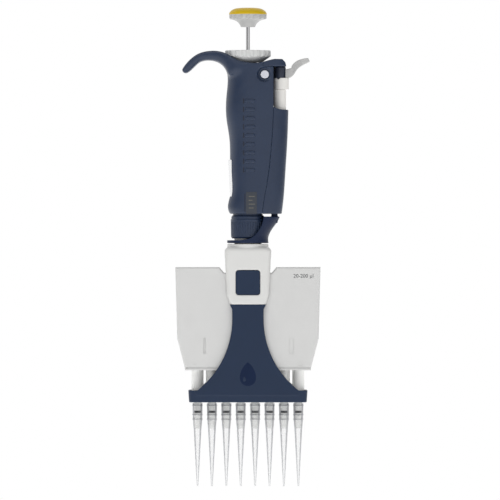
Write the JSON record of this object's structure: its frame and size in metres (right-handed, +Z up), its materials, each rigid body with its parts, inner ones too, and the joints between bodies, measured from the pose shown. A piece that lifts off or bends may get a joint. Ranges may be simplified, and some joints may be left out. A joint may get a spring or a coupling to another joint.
{
  "type": "multichannel pipette",
  "caption": "Upright multichannel pipette with a finger hook, plunger button, volume thumbwheel, tip ejector, wide manifold and a row of disposable tips.",
  "frame": {"origin": "on the plunger axis, at the level of the tips' ends", "axes": "+Z up along the plunger, +X along the row of tips towards the ejector lever, -Y the front"},
  "size_m": [0.0906, 0.0288, 0.2989],
  "materials": {
    "navy_plastic": "fine matte texture",
    "navy_shovel": "fine matte texture",
    "pale_grey_plastic": "satin",
    "casing_plastic": "satin",
    "warm_white_plastic": "satin",
    "button_plastic": "satin",
    "yellow_plastic": "satin",
    "polypropylene": "translucent",
    "polished_steel": "polished",
    "spring_steel": "bright",
    "brass": "turned",
    "black_rubber": "matte",
    "white_seal": "matte",
    "clear_window": "clear",
    "label": "matte",
    "white_button": "satin",
    "drum_plastic": "matte"
  },
  "bodies": {
    "handle": {"handle_shell": "navy_plastic", "rear_cover": "navy_plastic", "top_cap": "navy_plastic", "window_lens": "clear_window", "label_plate": "label", "wheel_bearing": "brass", "volume_nut": "brass", "coupling_spigot": "navy_plastic", "ejector_spring": "spring_steel"},
    "thumbwheel": {"thumbwheel": "button_plastic", "drive_sleeve": "polished_steel", "units_drum": "drum_plastic", "plunger_spring": "spring_steel"},
    "metering_screw": {"metering_screw": "brass"},
    "plunger": {"push_button": "button_plastic", "button_cap": "yellow_plastic", "plunger_rod": "polished_steel", "rod_collar": "polished_steel"},
    "tens_drum": {"tens_drum": "drum_plastic"},
    "hundreds_drum": {"hundreds_drum": "drum_plastic"},
    "ejector": {"ejector_arm": "navy_plastic", "ejector_rod": "polished_steel", "ejector_tube": "warm_white_plastic"},
    "lever": {"ejector_head": "warm_white_plastic", "ejector_block": "navy_plastic", "ejector_lever": "button_plastic"},
    "nut": {"coupling_nut": "navy_plastic"},
    "volume_lock": {"lock_button": "white_button"},
    "manifold": {"manifold_neck": "pale_grey_plastic", "case_front": "casing_plastic", "case_back": "casing_plastic", "casing_screws": "spring_steel", "base_plate": "casing_plastic", "nozzle_seals": "black_rubber", "piston_seals": "white_seal", "guide_rods": "polished_steel", "return_springs": "spring_steel", "tip_holder_1": "pale_grey_plastic", "tip_holder_2": "pale_grey_plastic", "tip_holder_3": "pale_grey_plastic", "tip_holder_4": "pale_grey_plastic", "tip_holder_5": "pale_grey_plastic", "tip_holder_6": "pale_grey_plastic", "tip_holder_7": "pale_grey_plastic", "tip_holder_8": "pale_grey_plastic"},
    "piston": {"piston_rod": "polished_steel", "piston_plate": "pale_grey_plastic", "pistons": "polished_steel"},
    "collar": {"ejector_collar": "pale_grey_plastic", "ejector_shovel": "navy_shovel"},
    "latch": {"latch_button": "navy_shovel"},
    "tips": {"tip_1": "polypropylene", "tip_2": "polypropylene", "tip_3": "polypropylene", "tip_4": "polypropylene", "tip_5": "polypropylene", "tip_6": "polypropylene", "tip_7": "polypropylene", "tip_8": "polypropylene"}
  },
  "joints": [
    {"name": "thumbwheel_turn", "type": "hinge", "parent": "handle", "child": "thumbwheel", "pos_m": [0, 0, 0.2705], "axis": [0, 0, -1], "range_deg": [0, 6480]},
    {"name": "screw_feed", "type": "slide", "parent": "thumbwheel", "child": "metering_screw", "axis": [0, 0, -1], "range_m": [0, 0.0108]},
    {"name": "tens_turn", "type": "hinge", "parent": "handle", "child": "tens_drum", "pos_m": [0, 0, 0.1925], "axis": [0, 0, -1], "range_deg": [0, 650]},
    {"name": "hundreds_turn", "type": "hinge", "parent": "handle", "child": "hundreds_drum", "pos_m": [0, 0, 0.1994], "axis": [0, 0, -1], "range_deg": [0, 66]},
    {"name": "plunger_press", "type": "slide", "parent": "thumbwheel", "child": "plunger", "axis": [0, 0, -1], "range_m": [0, 0.0152], "stiffness_N_per_m": 300, "springref_m": -0.008, "deforming": ["plunger_spring"]},
    {"name": "ejector_press", "type": "slide", "parent": "handle", "child": "ejector", "axis": [0, 0, -1], "range_m": [0, 0.0055], "stiffness_N_per_m": 600, "springref_m": -0.006, "deforming": ["ejector_spring"]},
    {"name": "lever_swivel", "type": "hinge", "parent": "ejector", "child": "lever", "pos_m": [0.02, 0, 0.2515], "axis": [0, 0, 1], "range_deg": [-20, 20]},
    {"name": "nut_turn", "type": "hinge", "parent": "handle", "child": "nut", "pos_m": [0, 0, 0.162], "axis": [0, 0, 1], "range_deg": [0, 60]},
    {"name": "lock_shift", "type": "slide", "parent": "handle", "child": "volume_lock", "axis": [0, 1, 0], "range_m": [-0.0012, 0.0012]},
    {"name": "manifold_swivel", "type": "hinge", "parent": "handle", "child": "manifold", "pos_m": [0, 0, 0.158], "axis": [0, 0, 1], "continuous": true},
    {"name": "piston_stroke", "type": "slide", "parent": "manifold", "child": "piston", "axis": [0, 0, -1], "range_m": [0, 0.0152], "stiffness_N_per_m": 200, "springref_m": -0.005, "deforming": ["return_springs"]},
    {"name": "collar_slide", "type": "slide", "parent": "manifold", "child": "collar", "axis": [0, 0, -1], "range_m": [0, 0.0055]},
    {"name": "latch_press", "type": "slide", "parent": "collar", "child": "latch", "axis": [0, 1, 0], "range_m": [0, 0.0012], "stiffness_N_per_m": 800, "springref_m": -0.001},
    {"name": "tips_pull_off", "type": "slide", "parent": "collar", "child": "tips", "axis": [0, 0, -1], "range_m": [0, 0.03]}
  ],
  "couplings": [
    {"joint": "thumbwheel_turn", "follows": "screw_feed", "rad_per_m": 10472},
    {"joint": "tens_turn", "follows": "screw_feed", "rad_per_m": 1047.2},
    {"joint": "hundreds_turn", "follows": "screw_feed", "rad_per_m": 104.72},
    {"joint": "piston_stroke", "follows": "plunger_press", "ratio": 1},
    {"joint": "collar_slide", "follows": "ejector_press", "ratio": 1}
  ]
}
